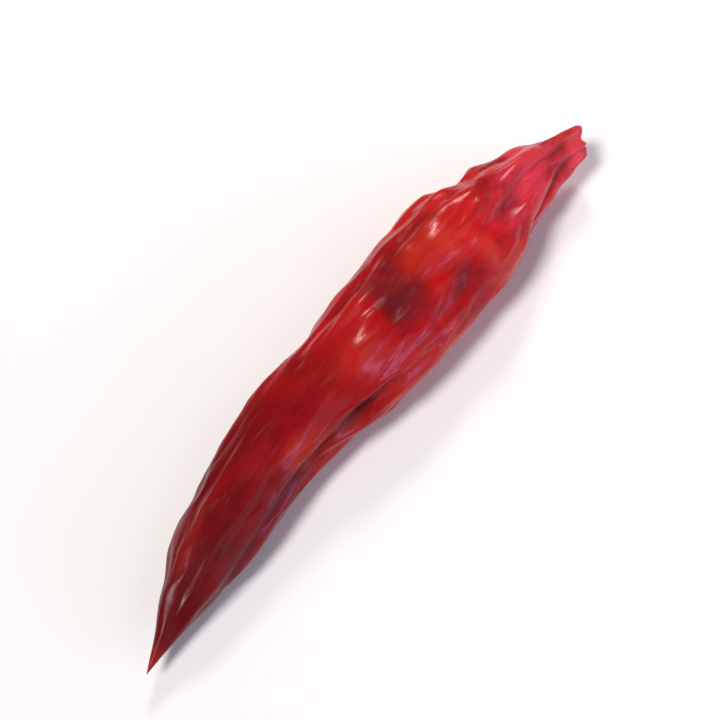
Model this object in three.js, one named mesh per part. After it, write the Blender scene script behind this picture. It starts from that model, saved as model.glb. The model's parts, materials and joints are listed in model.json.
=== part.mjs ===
// A dried chilli pepper with its stalk pulled off, lying on its side.
//
// The pod is turned on a lathe as the plump fresh fruit, then dried: it is flattened and bowed, its wall
// falls in between the ribs, and the skin puckers. The pale root of the core is left in the torn mouth.
//
// Millimetres, +Z up. The pod lies along X on the plane z = 0, its mouth towards -X and its tip towards +X.

import * as THREE from "three";
import { ImprovedNoise } from "three/addons/math/ImprovedNoise.js";

// Driving dimensions
const LENGTH = 65; // mouth to tip, along the spine
const BELLY_RADIUS = 5.8; // half the width of the widest part before it dries
const BELLY_FLATNESS = 0.78; // height over width at the belly
const END_FLATNESS = 0.92; // height over width at the neck and the tip
const BOW = 3.6; // how far the spine bows sideways
const REST_HEIGHT = 4.2; // spine above the ground at the belly, less than half the belly's height
const MOUTH_WALL = 0.5; // thickness of the torn wall round the mouth
const MOUTH_DEPTH = 1.9;
const CORE_SINK = 0.5; // how far the core's broken end lies inside the mouth
const RIBS = 3; // one for each chamber of the fruit
const RIB_HEIGHT = 0.2;
const RIB_TURN = { mouth: 52, tip: -29 }; // degrees that the ribs are turned by at the two ends
const FURROW_WANDER = 7; // degrees, to either side of a furrow's line
const FURROW_WAVES = 1.4; // how often a furrow's line swings in the length of the pod
const FURROW_SHIFT = 6.4; // swings between the lines of two furrows that start one length apart
const PLAIN_TIP = 2.6; // radius below which the relief fades towards the tip
const TORN_REACH = 0.05; // share of the length over which the torn rim's waves die away

// Fineness of the faceted solid
const POD_SIDES = 72;
const POD_ROWS = 72;

// Outline of the fresh pod: share of the length from the mouth, share of the belly radius
const POD_OUTLINE = [
  [0.0, 0.31],
  [0.04, 0.38],
  [0.1, 0.57],
  [0.17, 0.78],
  [0.22, 0.97],
  [0.3, 1.0],
  [0.46, 0.98],
  [0.58, 0.87],
  [0.7, 0.77],
  [0.82, 0.61],
  [0.88, 0.43],
  [0.94, 0.18],
  [1.0, 0.0],
];

// Spine: share of the length, share of the bow, share of the resting height
const SPINE = [
  [0.0, 0.1, 0.92],
  [0.12, 0.6, 0.98],
  [0.25, 0.77, 1.0],
  [0.42, 0.79, 0.98],
  [0.62, 0.94, 0.9],
  [0.8, 0.74, 0.74],
  [0.92, 0.28, 0.58],
  [1.0, -0.06, 0.48],
];

// Stretches of the pod, as shares of the length: where each starts, is full, fades and ends
const FLATTENED = { from: 0.05, full: 0.25, fades: 0.6, to: 0.95 };
const SHOULDER = { from: 0.1, full: 0.2, fades: 0.35, to: 0.75 };

// Furrows where the wall has fallen in between two ribs, then the folds that gather the neck. Angles run
// round the section in degrees, from the +Y side over the top; a furrow drifts from one to the other.
const FURROWS = [
  { from: 0.2, to: 0.56, angles: [70, 96], depth: 0.6, width: 1.2 },
  { from: 0.3, to: 0.92, angles: [134, 120], depth: 0.6, width: 1.4 },
  { from: 0.1, to: 0.6, angles: [192, 176], depth: 0.9, width: 1.1 },
  { from: 0.36, to: 0.94, angles: [24, 10], depth: 0.75, width: 1.2 },
  { from: 0.12, to: 0.72, angles: [316, 338], depth: 0.8, width: 1.0 },
  { from: 0.34, to: 0.9, angles: [228, 210], depth: 0.7, width: 1.1 },
  { from: -0.12, to: 0.25, angles: [86, 58], depth: 0.9, width: 0.7 },
  { from: -0.1, to: 0.19, angles: [138, 126], depth: 0.7, width: 0.6 },
  { from: -0.12, to: 0.22, angles: [196, 172], depth: 0.75, width: 0.6 },
  { from: -0.1, to: 0.2, angles: [248, 236], depth: 0.65, width: 0.6 },
  { from: -0.12, to: 0.23, angles: [302, 318], depth: 0.8, width: 0.6 },
  { from: -0.1, to: 0.18, angles: [22, 6], depth: 0.65, width: 0.5 },
];

// Hollows where the wall has sunk: place along and round the pod, half length, half breadth, depth
const HOLLOWS = [
  { at: 0.199, angle: 158, along: 1.4, across: 4.4, depth: 1.3 },
  { at: 0.19, angle: 64, along: 1.8, across: 1.9, depth: 0.4 },
  { at: 0.24, angle: 96, along: 1.1, across: 3.2, depth: 0.35 },
  { at: 0.325, angle: 38, along: 2.2, across: 2.2, depth: 0.45 },
  { at: 0.41, angle: 86, along: 2.1, across: 3.8, depth: 1.1 },
  { at: 0.51, angle: 150, along: 3.6, across: 2.0, depth: 0.5 },
  { at: 0.565, angle: 18, along: 2.2, across: 1.6, depth: 0.55 },
  { at: 0.665, angle: 6, along: 4.6, across: 2.6, depth: 1.0 },
  { at: 0.62, angle: 84, along: 3.4, across: 2.0, depth: 0.4 },
  { at: 0.78, angle: 70, along: 3.6, across: 1.6, depth: 0.35 },
  { at: 0.33, angle: 182, along: 2.0, across: 2.2, depth: 0.6 },
  { at: 0.42, angle: 206, along: 4.0, across: 2.2, depth: 0.7 },
  { at: 0.53, angle: 164, along: 2.0, across: 2.4, depth: 0.5 },
  { at: 0.63, angle: 184, along: 4.0, across: 2.0, depth: 0.8 },
  { at: 0.77, angle: 164, along: 3.0, across: 1.5, depth: 0.4 },
  { at: 0.25, angle: 236, along: 3.0, across: 2.2, depth: 0.7 },
  { at: 0.22, angle: 326, along: 2.2, across: 2.2, depth: 0.5 },
];

// Swellings where seeds press on the wall from inside: place along and round the pod, half length, half
// breadth, height
const SWELLINGS = [
  { at: 0.305, angle: 86, along: 1.4, across: 2.2, height: 0.4 },
  { at: 0.27, angle: 40, along: 1.4, across: 2.4, height: 0.45 },
  { at: 0.51, angle: 76, along: 2.4, across: 2.4, height: 0.8 },
  { at: 0.5, angle: 112, along: 1.6, across: 1.5, height: 0.4 },
  { at: 0.41, angle: 30, along: 1.8, across: 1.5, height: 0.4 },
  { at: 0.53, angle: 62, along: 1.6, across: 1.3, height: 0.35 },
  { at: 0.6, angle: 100, along: 1.5, across: 1.2, height: 0.3 },
  { at: 0.45, angle: 186, along: 1.6, across: 1.3, height: 0.4 },
  { at: 0.55, angle: 172, along: 1.5, across: 1.2, height: 0.35 },
  { at: 0.38, angle: 262, along: 1.6, across: 1.4, height: 0.35 },
  { at: 0.52, angle: 330, along: 1.6, across: 1.3, height: 0.35 },
];

// Broad, small and long puckers in the shrunken skin: pitch along the pod, breadth round it, depth on the
// shoulder, and the share of that depth left elsewhere
const PUCKERS = [
  { pitch: 9.0, breadth: 4.6, depth: 0.5, elsewhere: 0.7 },
  { pitch: 4.2, breadth: 3.6, depth: 0.2, elsewhere: 0.4 },
  { pitch: 12.0, breadth: 1.9, depth: 0.4, elsewhere: 0.65 },
];
const PUCKER_BEND = 1.2; // how far the puckers are bent, as a share of their pitch
const PUCKER_LEVEL = 0.7; // the share of its height above which a pucker stands proud of the wall

// Sections of the relief: 1 falls to a crease, 2 is a round bell, and above that the floor is flatter
const FURROW_SECTION = 1.3;
const HOLLOW_SECTION = 2.2;
const SWELLING_SECTION = 2;

// Waves of the torn rim: how many go round it, where they start, how far they run in and out
const TORN_WAVES = [
  { count: 2, phase: 0.8, height: 0.36 },
  { count: 5, phase: 2.1, height: 0.22 },
];

const { clamp, degToRad, lerp, smoothstep } = THREE.MathUtils;
const noise = new ImprovedNoise();

const spine = new THREE.CatmullRomCurve3(
  SPINE.map(([along, bow, height]) => new THREE.Vector3(along * LENGTH, -bow * BOW, height * REST_HEIGHT)),
);

// How full a stretch of the pod is at a place along it, from 0 to 1
function fullnessOf({ from, full, fades, to }, share) {
  return smoothstep(share, from, full) * (1 - smoothstep(share, fades, to));
}

// Angle between two directions round the section, from -PI to PI
function turnBetween(angle, degrees) {
  const turn = angle - degToRad(degrees);
  return Math.atan2(Math.sin(turn), Math.cos(turn));
}

// Height of a bell-like section at a distance from its middle, from 1 down to 0
function bell(distance, section) {
  return Math.exp(-(distance ** section));
}

// How far the ribs, furrows, hollows, swellings and puckers move the wall outwards, in millimetres
function reliefAt(share, angle, radius) {
  const twist = degToRad(lerp(RIB_TURN.mouth, RIB_TURN.tip, share));
  let relief = RIB_HEIGHT * Math.cos(RIBS * angle + twist);

  // Distance from a spot of the wall, in units of the spot's half length and half breadth
  const distanceFrom = (spot) => {
    const x = ((share - spot.at) * LENGTH) / spot.along;
    const y = (turnBetween(angle, spot.angle) * radius) / spot.across;
    return Math.hypot(x, y);
  };

  for (const { from, to, angles, depth, width } of FURROWS) {
    const along = clamp((share - from) / (to - from), 0, 1);
    const swing = 2 * Math.PI * (FURROW_WAVES * share + FURROW_SHIFT * from);
    const line = lerp(angles[0], angles[1], along) + FURROW_WANDER * Math.sin(swing);
    const across = Math.abs(turnBetween(angle, line)) * radius;
    const fade = Math.sqrt(Math.sin(Math.PI * along));
    relief -= depth * fade * bell(across / width, FURROW_SECTION);
  }

  for (const hollow of HOLLOWS) {
    relief -= hollow.depth * bell(distanceFrom(hollow), HOLLOW_SECTION);
  }

  for (const swelling of SWELLINGS) {
    relief += swelling.height * bell(distanceFrom(swelling), SWELLING_SECTION);
  }

  // Each size of pucker has its own place in the noise.
  const crumpled = fullnessOf(SHOULDER, share);
  for (const { pitch, breadth, depth, elsewhere } of PUCKERS) {
    const x = (share * LENGTH) / pitch + pitch;
    const y = (radius * Math.cos(angle)) / breadth;
    const z = (radius * Math.sin(angle)) / breadth + breadth;
    const bend = noise.noise(0.5 * x, y, z);
    const ridge = 1 - 2 * Math.abs(noise.noise(x + PUCKER_BEND * bend, y, -z));
    relief += depth * lerp(elsewhere, 1, crumpled) * (ridge - PUCKER_LEVEL);
  }

  return relief * smoothstep(radius, 0, PLAIN_TIP);
}

// Where a point of the fresh pod ends up once it has dried: share along the spine, angle, radius and the
// relief of the wall there
function driedPoint(share, angle, radius, relief) {
  const flatness = lerp(END_FLATNESS, BELLY_FLATNESS, fullnessOf(FLATTENED, share));
  const along = clamp(share, 0, 1);
  const centre = spine.getPointAt(along);
  const forward = spine.getTangentAt(along);
  const sideways = new THREE.Vector3(0, 0, 1).cross(forward).normalize();
  const upwards = new THREE.Vector3().crossVectors(forward, sideways);
  const point = centre
    .addScaledVector(forward, (share - along) * LENGTH)
    .addScaledVector(sideways, (radius + relief) * Math.cos(angle))
    .addScaledVector(upwards, (radius + relief) * flatness * Math.sin(angle));
  point.z = Math.max(point.z, 0); // the underside has settled flat on the ground
  return point;
}

const mouthRadius = POD_OUTLINE[0][1] * BELLY_RADIUS;

// Half sections of the fresh pod, as points of radius and distance from the mouth. The mouth runs from the
// middle of the core's broken end, down round the core and up the torn wall to its rim.
const innerRadius = mouthRadius - MOUTH_WALL;
const mouth = [
  new THREE.Vector2(0, CORE_SINK),
  new THREE.Vector2(0.35 * innerRadius, CORE_SINK),
  new THREE.Vector2(0.6 * innerRadius, 1.2 * CORE_SINK),
  new THREE.Vector2(0.75 * innerRadius, MOUTH_DEPTH),
  new THREE.Vector2(innerRadius, 0.8 * MOUTH_DEPTH),
  new THREE.Vector2(innerRadius, 0.4 * MOUTH_DEPTH),
  new THREE.Vector2(innerRadius, -0.2 * MOUTH_WALL),
  new THREE.Vector2(innerRadius + 0.5 * MOUTH_WALL, -0.6 * MOUTH_WALL),
];

// The outside runs from the rim to the tip.
const outside = new THREE.SplineCurve(
  POD_OUTLINE.map(([share, width]) => new THREE.Vector2(width * BELLY_RADIUS, share * LENGTH)),
).getSpacedPoints(POD_ROWS);

function podGeometry() {
  const section = [...mouth, ...outside];
  const geometry = new THREE.LatheGeometry(section, POD_SIDES);
  const position = geometry.getAttribute("position");
  for (let i = 0; i < position.count; i++) {
    const row = i % section.length;
    const angle = (2 * Math.PI * Math.floor(i / section.length)) / POD_SIDES;
    const radius = section[row].x;
    const share = section[row].y / LENGTH;

    // The torn wall keeps its thickness in the folds of the neck.
    const breadth = radius / mouthRadius;
    const folded = breadth * reliefAt(0, angle, mouthRadius);
    const relief = row < mouth.length ? folded : reliefAt(share, angle, radius);

    // The rim is ragged.
    const rim = smoothstep(breadth, 0, 1) * (1 - smoothstep(share, 0, TORN_REACH));
    const waves = TORN_WAVES.map(({ count, phase, height }) => height * Math.sin(count * angle + phase));
    const torn = rim * waves.reduce((sum, wave) => sum + wave, 0);

    const point = driedPoint(share + torn / LENGTH, angle, radius, relief);
    position.setXYZ(i, point.x, point.y, point.z);
  }
  geometry.computeVertexNormals();
  return geometry;
}

const skin = new THREE.MeshStandardMaterial({ color: 0xa01a1c, roughness: 0.35, metalness: 0 });

const pod = new THREE.Mesh(podGeometry(), skin);
pod.name = "pod";

// The origin is on the ground, under the middle of the pod.
const middle = new THREE.Box3().setFromObject(pod).getCenter(new THREE.Vector3());
pod.position.set(-middle.x, -middle.y, 0);

const chilli = new THREE.Group();
chilli.add(pod);

export default chilli;
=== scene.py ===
import json
import math

import bpy
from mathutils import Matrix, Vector

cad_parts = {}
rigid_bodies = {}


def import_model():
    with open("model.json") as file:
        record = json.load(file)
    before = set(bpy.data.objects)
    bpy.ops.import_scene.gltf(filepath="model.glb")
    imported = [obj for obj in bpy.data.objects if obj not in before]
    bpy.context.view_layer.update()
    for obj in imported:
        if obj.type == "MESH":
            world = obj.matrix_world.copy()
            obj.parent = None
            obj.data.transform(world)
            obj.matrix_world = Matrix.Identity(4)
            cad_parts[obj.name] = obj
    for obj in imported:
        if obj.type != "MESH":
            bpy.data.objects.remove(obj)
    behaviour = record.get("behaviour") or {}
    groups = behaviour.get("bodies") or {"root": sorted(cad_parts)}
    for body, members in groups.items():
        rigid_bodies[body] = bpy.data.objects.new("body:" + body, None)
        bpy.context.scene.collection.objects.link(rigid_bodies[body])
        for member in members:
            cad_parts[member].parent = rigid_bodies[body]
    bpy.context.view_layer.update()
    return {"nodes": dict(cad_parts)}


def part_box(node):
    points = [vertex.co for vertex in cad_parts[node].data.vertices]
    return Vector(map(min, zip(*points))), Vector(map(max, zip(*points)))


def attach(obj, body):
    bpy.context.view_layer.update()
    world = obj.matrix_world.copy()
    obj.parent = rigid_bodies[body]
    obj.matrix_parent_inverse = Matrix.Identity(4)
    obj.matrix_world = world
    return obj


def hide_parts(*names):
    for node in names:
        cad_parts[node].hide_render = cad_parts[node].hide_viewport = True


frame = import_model()


# The pod: one dried fruit, a thin leathery wall that shrank as it lost its water, so that it fell in
# between the ribs, puckered on the shoulder and drew up in folds at the neck. It lies on its side, and the
# stalk has been pulled off, which left a torn mouth with the pale root of the core in it.
bpy.ops.object.select_all(action="DESELECT")
pod = bpy.data.objects.new("dried_pod", frame["nodes"]["pod"].data.copy())
bpy.context.scene.collection.objects.link(pod)
pod.data.materials.clear()
pod.select_set(True)
bpy.context.view_layer.objects.active = pod

# Merged and turned to quads, its faces run along and round the pod.
merge_distance = 1e-6
quad_angle = math.radians(80)
bpy.ops.object.mode_set(mode="EDIT")
bpy.ops.mesh.select_mode(type="VERT")
bpy.ops.mesh.select_all(action="SELECT")
bpy.ops.mesh.customdata_custom_splitnormals_clear()
bpy.ops.mesh.remove_doubles(threshold=merge_distance)
bpy.ops.mesh.tris_convert_to_quads(face_threshold=quad_angle, shape_threshold=quad_angle)
bpy.ops.mesh.select_all(action="DESELECT")
bpy.ops.object.mode_set(mode="OBJECT")

pod_low, pod_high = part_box("pod")
mouth_x = pod_low.x
tip_x = pod_high.x
pod_length = tip_x - mouth_x

# The mouth is reached ring by ring from the middle of the core's broken end, the point at the mouth where
# most edges meet. Each ring is less pale than the one inside it.
mouth_end = 0.1  # share of the pod's length
mouth_rings = [1.0, 1.0, 0.95, 0.7, 0.55, 0.45, 0.35, 0.2]
edges_at = [0] * len(pod.data.vertices)
for edge in pod.data.edges:
    for corner in edge.vertices:
        edges_at[corner] += 1
core_middle = max(
    (v for v in pod.data.vertices if v.co.x < mouth_x + mouth_end * pod_length),
    key=lambda v: edges_at[v.index],
)
core_middle.select = True
pod.data.attributes.new("pith", "FLOAT", "POINT")
for ring_paleness in mouth_rings:
    for v in pod.data.vertices:
        if v.select and pod.data.attributes["pith"].data[v.index].value == 0:
            pod.data.attributes["pith"].data[v.index].value = ring_paleness
    bpy.ops.object.mode_set(mode="EDIT")
    bpy.ops.mesh.select_more()
    bpy.ops.object.mode_set(mode="OBJECT")

# How far each spot stands proud of the ironed-out pod, in millimetres, or has sunk below it.
millimetres = 1000  # in a metre
bpy.ops.object.duplicate()
plump = bpy.context.object
ironing = plump.modifiers.new("ironing", "SMOOTH")
ironing.factor = 0.5
ironing.iterations = 60
bpy.ops.object.modifier_apply(modifier=ironing.name)
heights = [
    millimetres * (v.co - ironed.co).dot(v.normal)
    for v, ironed in zip(pod.data.vertices, plump.data.vertices)
]
bpy.data.objects.remove(plump)

# The relief is blurred, so that the painted shade of a sunken spot and the painted highlight of a ridge
# spread into the wall round them.
relief_blur_rounds = 6
for _ in range(relief_blur_rounds):
    total = list(heights)
    count = [1] * len(heights)
    for edge in pod.data.edges:
        one, other = edge.vertices
        total[one] += heights[other]
        total[other] += heights[one]
        count[one] += 1
        count[other] += 1
    heights = [value / spots for value, spots in zip(total, count)]
pod.data.attributes.new("relief", "FLOAT", "POINT")
for v in pod.data.vertices:
    pod.data.attributes["relief"].data[v.index].value = heights[v.index]
pod.select_set(True)
bpy.context.view_layer.objects.active = pod

# The skin crinkles most on the shoulder, and creases least at the neck, at the tip and where it lies.
lying_height = 0.0012
shoulder_middle = 0.25  # this and the next three are shares of the pod's length
shoulder_reach = 0.2
neck_reach = 0.1
tip_reach = 0.2
least_creased = 0.35
crinkled = pod.vertex_groups.new(name="crinkled")
creased = pod.vertex_groups.new(name="creased")
for v in pod.data.vertices:
    share = (v.co.x - mouth_x) / pod_length
    off_ground = min(max(v.co.z / lying_height, 0), 1)
    outside = 1 - pod.data.attributes["pith"].data[v.index].value
    shoulder = math.exp(-(((share - shoulder_middle) / shoulder_reach) ** 2))
    crinkled.add([v.index], off_ground * outside * shoulder, "REPLACE")
    body = min(share / neck_reach, 1) * min((1 - share) / tip_reach, 1)
    body_creases = least_creased + (1 - least_creased) * body
    creased.add([v.index], off_ground * outside * body_creases, "REPLACE")

smooth = pod.modifiers.new("smooth", "SUBSURF")
smooth.levels = 2
smooth.render_levels = 2
bpy.ops.object.modifier_apply(modifier=smooth.name)

# Fine creases run along the pod, and crinkles across the shoulder. Sizes are along, across and up.
crease_size = (0.007, 0.0016, 0.0016)
crease_depth = 0.00009
crinkle_size = (0.0017, 0.0026, 0.0026)
crinkle_depth = 0.00008
bpy.ops.object.empty_add(location=(0, 0, 0))
grain = bpy.context.object
grain.scale = crease_size
bpy.context.view_layer.update()
bpy.context.view_layer.objects.active = pod
crease_pattern = bpy.data.textures.new("creases", "MUSGRAVE")
crease_pattern.musgrave_type = "RIDGED_MULTIFRACTAL"
crease_pattern.noise_scale = 1.0
crease_pattern.octaves = 2
crease_pattern.lacunarity = 2.0
creases = pod.modifiers.new("creases", "DISPLACE")
creases.texture = crease_pattern
creases.texture_coords = "OBJECT"
creases.texture_coords_object = grain
creases.vertex_group = "creased"
creases.strength = crease_depth
creases.mid_level = 0.5
bpy.ops.object.modifier_apply(modifier=creases.name)

grain.scale = crinkle_size
bpy.context.view_layer.update()
crinkle_pattern = bpy.data.textures.new("crinkles", "CLOUDS")
crinkle_pattern.noise_scale = 1.0
crinkle_pattern.noise_depth = 1
crinkles = pod.modifiers.new("crinkles", "DISPLACE")
crinkles.texture = crinkle_pattern
crinkles.texture_coords = "OBJECT"
crinkles.texture_coords_object = grain
crinkles.vertex_group = "crinkled"
crinkles.strength = crinkle_depth
crinkles.mid_level = 0.5
bpy.ops.object.modifier_apply(modifier=crinkles.name)
bpy.data.objects.remove(grain)

pod.vertex_groups.clear()
bpy.ops.object.select_all(action="DESELECT")
pod.select_set(True)
bpy.context.view_layer.objects.active = pod
bpy.ops.object.shade_smooth()

# Dried skin: red, brightest on the shoulder, pink at the neck and maroon towards the tip, with painted shade
# in the sunken places, painted highlights on the ridges, orange-red patches where it is thin, and a waxy
# gloss that is scuffed in places.
skin = bpy.data.materials.new("chilli_skin")
skin.use_nodes = True
nodes = skin.node_tree.nodes
links = skin.node_tree.links
shader = nodes["Principled BSDF"]
shader.inputs["IOR"].default_value = 1.38
shader.inputs["Specular IOR Level"].default_value = 0.35
shader.inputs["Specular Tint"].default_value = (1.0, 0.72, 0.76, 1)
shader.inputs["Coat Weight"].default_value = 0.06
shader.inputs["Coat Roughness"].default_value = 0.22
shader.inputs["Subsurface Weight"].default_value = 0.06
shader.inputs["Subsurface Radius"].default_value = (1.0, 0.22, 0.12)
shader.inputs["Subsurface Scale"].default_value = 0.0008

place = nodes.new("ShaderNodeTexCoord")


def pattern(stretch, scale, detail, roughness=0.55, distortion=0.0):
    """Noise in millimetres, drawn out along the pod by stretch."""
    mapping = nodes.new("ShaderNodeMapping")
    mapping.inputs["Scale"].default_value = (millimetres / stretch, millimetres, millimetres)
    links.new(place.outputs["Object"], mapping.inputs["Vector"])
    noise = nodes.new("ShaderNodeTexNoise")
    noise.inputs["Scale"].default_value = scale
    noise.inputs["Detail"].default_value = detail
    noise.inputs["Roughness"].default_value = roughness
    noise.inputs["Distortion"].default_value = distortion
    links.new(mapping.outputs["Vector"], noise.inputs["Vector"])
    return noise.outputs["Fac"]


def spread(value, low, high, out_low=0.0, out_high=1.0):
    """Maps a value's range low to high on another range."""
    span = nodes.new("ShaderNodeMapRange")
    span.inputs["From Min"].default_value = low
    span.inputs["From Max"].default_value = high
    span.inputs["To Min"].default_value = out_low
    span.inputs["To Max"].default_value = out_high
    links.new(value, span.inputs["Value"])
    return span.outputs["Result"]


def lay_tint(under, amount, tint):
    """Lays a tint over what is under it, as far as amount says."""
    layer = nodes.new("ShaderNodeMix")
    layer.data_type = "RGBA"
    links.new(amount, layer.inputs["Factor"])
    links.new(under, layer.inputs["A"])
    layer.inputs["B"].default_value = (*tint, 1)
    return layer.outputs["Result"]


def combine(operation, first, second):
    """Two values added or multiplied; a plain number is set on its socket."""
    math_node = nodes.new("ShaderNodeMath")
    math_node.operation = operation
    for socket, value in zip(math_node.inputs, (first, second)):
        if isinstance(value, (int, float)):
            socket.default_value = value
        else:
            links.new(value, socket)
    return math_node.outputs["Value"]


# Reds from the mouth to the tip, by share of the length.
reds = [
    (0.0, (0.78, 0.075, 0.105)),
    (0.10, (0.74, 0.048, 0.074)),
    (0.20, (0.57, 0.010, 0.014)),
    (0.30, (0.52, 0.006, 0.007)),
    (0.45, (0.44, 0.006, 0.009)),
    (0.58, (0.34, 0.005, 0.007)),
    (0.70, (0.21, 0.003, 0.005)),
    (0.86, (0.13, 0.002, 0.004)),
]
red_drift = 0.006  # how far the reds wander along the pod
axes = nodes.new("ShaderNodeSeparateXYZ")
links.new(place.outputs["Object"], axes.inputs["Vector"])
drift = spread(pattern(1.6, 0.11, 2), 0.3, 0.7, -red_drift, red_drift)
along = spread(combine("ADD", axes.outputs["X"], drift), mouth_x, tip_x)
ripeness = nodes.new("ShaderNodeValToRGB")
links.new(along, ripeness.inputs["Fac"])
while len(ripeness.color_ramp.elements) < len(reds):
    ripeness.color_ramp.elements.new(0.5)
for stop, (share, red) in zip(ripeness.color_ramp.elements, reds):
    stop.position = share
    stop.color = (*red, 1)
colour = ripeness.outputs["Color"]

# Dark blotches, thin orange-red places that end before the tip, fibres along the wall, and freckles.
blotches = spread(pattern(1.8, 0.32, 3, 0.6, 0.6), 0.48, 0.70, 0, 0.65)
colour = lay_tint(colour, blotches, (0.10, 0.004, 0.006))
thinness = spread(pattern(1.8, 0.16, 1, 0.5, 0.3), 0.56, 0.74, 0, 0.5)
thin_places = combine("MULTIPLY", thinness, spread(along, 0.55, 0.7, 1, 0))
colour = lay_tint(colour, thin_places, (0.50, 0.028, 0.008))
fibres = spread(pattern(14, 1.5, 3), 0.45, 0.75, 0, 0.2)
colour = lay_tint(colour, fibres, (0.13, 0.004, 0.005))
freckles = spread(pattern(1, 2.6, 2), 0.62, 0.8, 0, 0.5)
colour = lay_tint(colour, freckles, (0.09, 0.004, 0.004))

# Painted shade darkens the sunken places to maroon, and a painted highlight lightens the ridges. The ranges
# are millimetres of relief.
relief_node = nodes.new("ShaderNodeAttribute")
relief_node.attribute_name = "relief"
relief = relief_node.outputs["Fac"]
colour = lay_tint(colour, spread(relief, 0.06, -0.16, 0, 0.66), (0.08, 0.002, 0.003))
colour = lay_tint(colour, spread(relief, 0.14, 0.38, 0, 0.4), (0.60, 0.030, 0.020))

# Patches: a maroon band of painted shade across the saddle below the shoulder and a darker maroon place on
# the flank beside it, painted highlights in coral along the ridge that crosses the shoulder, and a thin
# orange place on the flank towards the tip. Each has its middle, its reach along, across and up, its
# strength and its tint.
maroon = (0.10, 0.002, 0.005)
highlight_coral = (0.72, 0.060, 0.035)
orange = (0.58, 0.036, 0.006)
patches = [
    # painted shade in the saddle below the shoulder
    ((-0.0058, -0.0004, 0.0076), (0.0026, 0.0050, 0.0040), 0.62, maroon),
    ((-0.0115, 0.0042, 0.0066), (0.0040, 0.0022, 0.0030), 0.5, maroon),
    # painted highlights along the ridge that crosses the shoulder
    ((-0.0127, 0.0003, 0.0087), (0.0012, 0.0022, 0.0022), 0.35, highlight_coral),
    ((-0.0148, 0.0034, 0.0074), (0.0012, 0.0024, 0.0022), 0.35, highlight_coral),
    ((0.0108, 0.0018, 0.0060), (0.0026, 0.0015, 0.0018), 0.35, orange),
]
patch_edge = 1.25  # both in shares of a patch's reach
patch_full = 0.35
ragged = spread(pattern(1, 0.5, 2), 0.3, 0.7, -0.35, 0.35)
matt_places = []
for middle, reach, strength, tint in patches:
    about = nodes.new("ShaderNodeMapping")
    about.inputs["Scale"].default_value = [1 / r for r in reach]
    about.inputs["Location"].default_value = [-m / r for m, r in zip(middle, reach)]
    links.new(place.outputs["Object"], about.inputs["Vector"])
    distance = nodes.new("ShaderNodeVectorMath")
    distance.operation = "LENGTH"
    links.new(about.outputs["Vector"], distance.inputs[0])
    ragged_distance = combine("ADD", distance.outputs["Value"], ragged)
    cover = spread(ragged_distance, patch_edge, patch_full, 0, strength)
    colour = lay_tint(colour, cover, tint)
    if tint == maroon:
        matt_places.append(cover)

# The broken core in the mouth is straw, with browner fibres.
paleness_node = nodes.new("ShaderNodeAttribute")
paleness_node.attribute_name = "pith"
paleness = paleness_node.outputs["Fac"]
colour = lay_tint(colour, spread(paleness, 0.1, 0.75), (0.62, 0.40, 0.16))
core_fibres = combine("MULTIPLY", spread(pattern(3, 3, 3), 0.5, 0.7, 0, 0.6), paleness)
colour = lay_tint(colour, core_fibres, (0.30, 0.15, 0.05))
links.new(colour, shader.inputs["Base Color"])

# The gloss is scuffed, and duller at the tip, on the core, in the hollows and on the maroon patches.
matt_rise = 0.45
scuffs = spread(pattern(2.5, 0.7, 4, 0.65), 0.35, 0.75, 0.17, 0.33)
dull_tip = spread(along, 0.6, 0.9, 0, 0.14)
dull_core = combine("MULTIPLY", paleness, 0.4)
dull_hollows = spread(relief, 0.0, -0.2, 0, 0.22)
dulled = combine("ADD", dull_hollows, combine("ADD", dull_tip, dull_core))
for cover in matt_places:
    dulled = combine("ADD", dulled, combine("MULTIPLY", cover, matt_rise))
links.new(combine("ADD", scuffs, dulled), shader.inputs["Roughness"])

# Pores and the finest lines along the skin.
skin_grain = nodes.new("ShaderNodeBump")
skin_grain.inputs["Strength"].default_value = 0.5
skin_grain.inputs["Distance"].default_value = 0.00006
pores = combine("MULTIPLY", pattern(1.3, 3.2, 3), 0.6)
fine_lines = combine("MULTIPLY", pattern(9, 2.2, 2), 0.5)
links.new(combine("ADD", pores, fine_lines), skin_grain.inputs["Height"])
links.new(skin_grain.outputs["Normal"], shader.inputs["Normal"])

pod.data.materials.append(skin)
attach(pod, "root")
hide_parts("pod")


# The table: a plain matt white board that the pod lies on. It is made in one flat sheet, and large enough to
# fill the view.
table_side = 4
bpy.ops.object.select_all(action="DESELECT")
bpy.ops.mesh.primitive_plane_add(size=table_side, location=(0, 0, 0))
table = bpy.context.object
table.name = "table"
board = bpy.data.materials.new("white_board")
board.use_nodes = True
board.node_tree.nodes["Principled BSDF"].inputs["Base Color"].default_value = (0.95, 0.95, 0.95, 1)
board.node_tree.nodes["Principled BSDF"].inputs["Roughness"].default_value = 0.9
table.data.materials.append(board)


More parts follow.
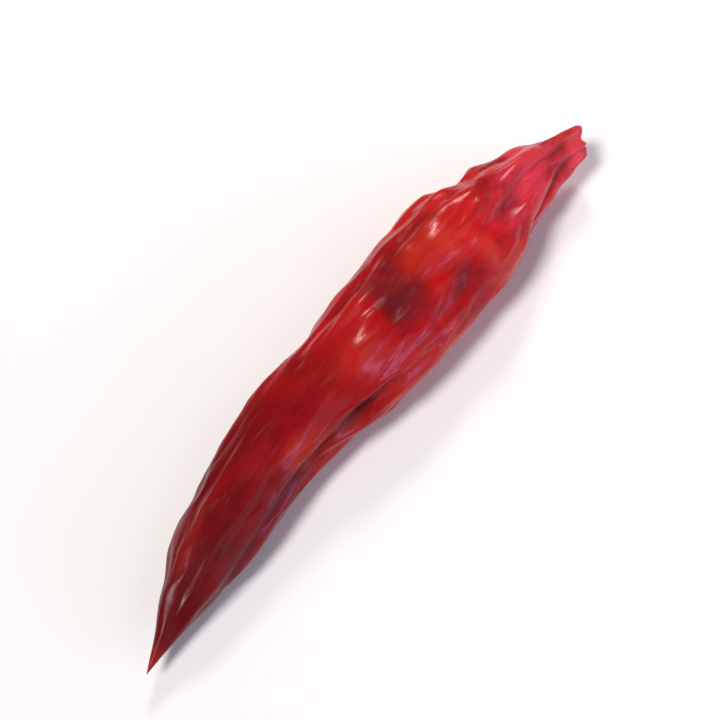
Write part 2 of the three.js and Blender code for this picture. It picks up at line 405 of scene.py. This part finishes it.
# The studio: a soft key light from the tip's side, a weak fill and a low violet window from the hollow side
# of the bow, a small warm light beyond the neck for the glints, a dim white room, and a camera that looks
# down on the pod so that it runs from its neck at the upper right to its tip at the lower left.
def toward(azimuth, elevation):
    """Direction from the pod: azimuth 0 is the -Y side and turns towards +X."""
    turn = math.radians(azimuth)
    rise = math.radians(elevation)
    return Vector((math.sin(turn) * math.cos(rise), -math.cos(turn) * math.cos(rise), math.sin(rise)))


def facing_pod(direction):
    """Turn of a lamp or camera that stands in this direction and looks at the pod."""
    return (-direction).to_track_quat("-Z", "Y").to_euler()


lamp_distance = 0.5


def lamp(name, direction, side, power, tint):
    """A square soft lamp."""
    bpy.ops.object.light_add(type="AREA", location=direction * lamp_distance)
    light = bpy.context.object
    light.name = name
    light.rotation_euler = facing_pod(direction)
    light.data.shape = "SQUARE"
    light.data.size = side
    light.data.energy = power
    light.data.color = tint


view_azimuth = 126.4
view_elevation = 60.0
view_distance = 0.150

# The key stands far off, so that it lights the board evenly.
key_side = toward(view_azimuth - 50, 56)
bpy.ops.object.light_add(type="SUN", location=key_side)
key = bpy.context.object
key.name = "key"
key.rotation_euler = facing_pod(key_side)
key.data.angle = math.radians(17)
key.data.energy = 2.4
key.data.color = (1.0, 0.97, 0.94)
lamp("fill", toward(view_azimuth + 75, 40), 0.45, 0.6, (0.94, 0.96, 1.0))
lamp("glint", toward(view_azimuth - 178, 38), 0.09, 0.8, (1.0, 0.92, 0.90))
lamp("window", toward(view_azimuth + 78, 18), 0.16, 0.55, (0.60, 0.50, 1.0))

room = bpy.data.worlds.new("room")
room.use_nodes = True
room.node_tree.nodes["Background"].inputs["Color"].default_value = (1, 1, 1, 1)
room.node_tree.nodes["Background"].inputs["Strength"].default_value = 0.10
bpy.context.scene.world = room
bpy.context.scene.view_settings.view_transform = "Standard"

lens = bpy.data.cameras.new("camera")
lens.lens = 85
lens.sensor_width = 36
lens.clip_start = 0.005
camera = bpy.data.objects.new("camera", lens)
bpy.context.scene.collection.objects.link(camera)
look = toward(view_azimuth, view_elevation)
camera.location = (pod_low + pod_high) / 2 + look * view_distance
camera.rotation_euler = facing_pod(look)
bpy.context.scene.camera = camera
